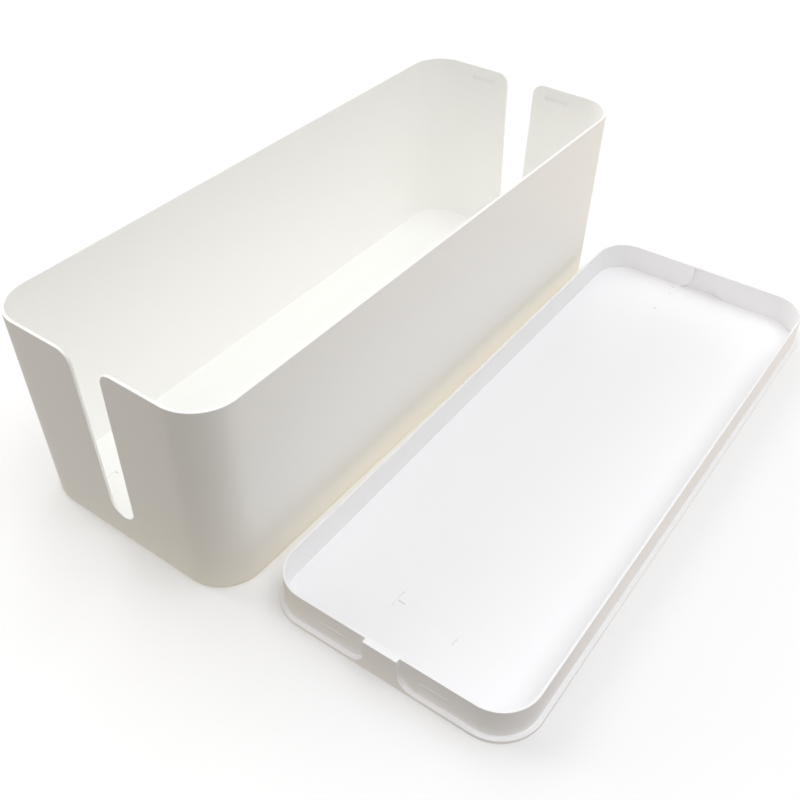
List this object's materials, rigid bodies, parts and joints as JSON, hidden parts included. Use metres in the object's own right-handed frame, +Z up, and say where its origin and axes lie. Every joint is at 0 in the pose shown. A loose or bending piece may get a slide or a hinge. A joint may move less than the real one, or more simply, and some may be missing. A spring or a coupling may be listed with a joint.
{
  "type": "cable tray with lid",
  "caption": "Long open plastic box that hides a power strip, with a flared cable slot in each end and a lift-off snap lid laid upside down beside it.",
  "frame": {"origin": "centre of the footprint of the tray and the lid together, on the surface that both rest on", "axes": "+Z up; +X along the tray and the lid; the lid lies on the -Y side of the tray"},
  "size_m": [0.4224, 0.324, 0.1304],
  "materials": {
    "tray_plastic": "warm white moulded plastic, satin, with a very fine grain",
    "lid_plastic": "white moulded plastic, satin, with a very fine grain",
    "foot_rubber": "soft matt rubber"
  },
  "bodies": {
    "tray_body": {"tray": "tray_plastic", "foot_near_front": "foot_rubber", "foot_near_back": "foot_rubber", "foot_far_front": "foot_rubber", "foot_far_back": "foot_rubber"},
    "lid_body": {"lid": "lid_plastic"}
  },
  "joints": [
    {"name": "lid_lift", "type": "slide", "parent": "tray_body", "child": "lid_body", "axis": [0, 0, 1], "range_m": [0, 0.15]}
  ]
}
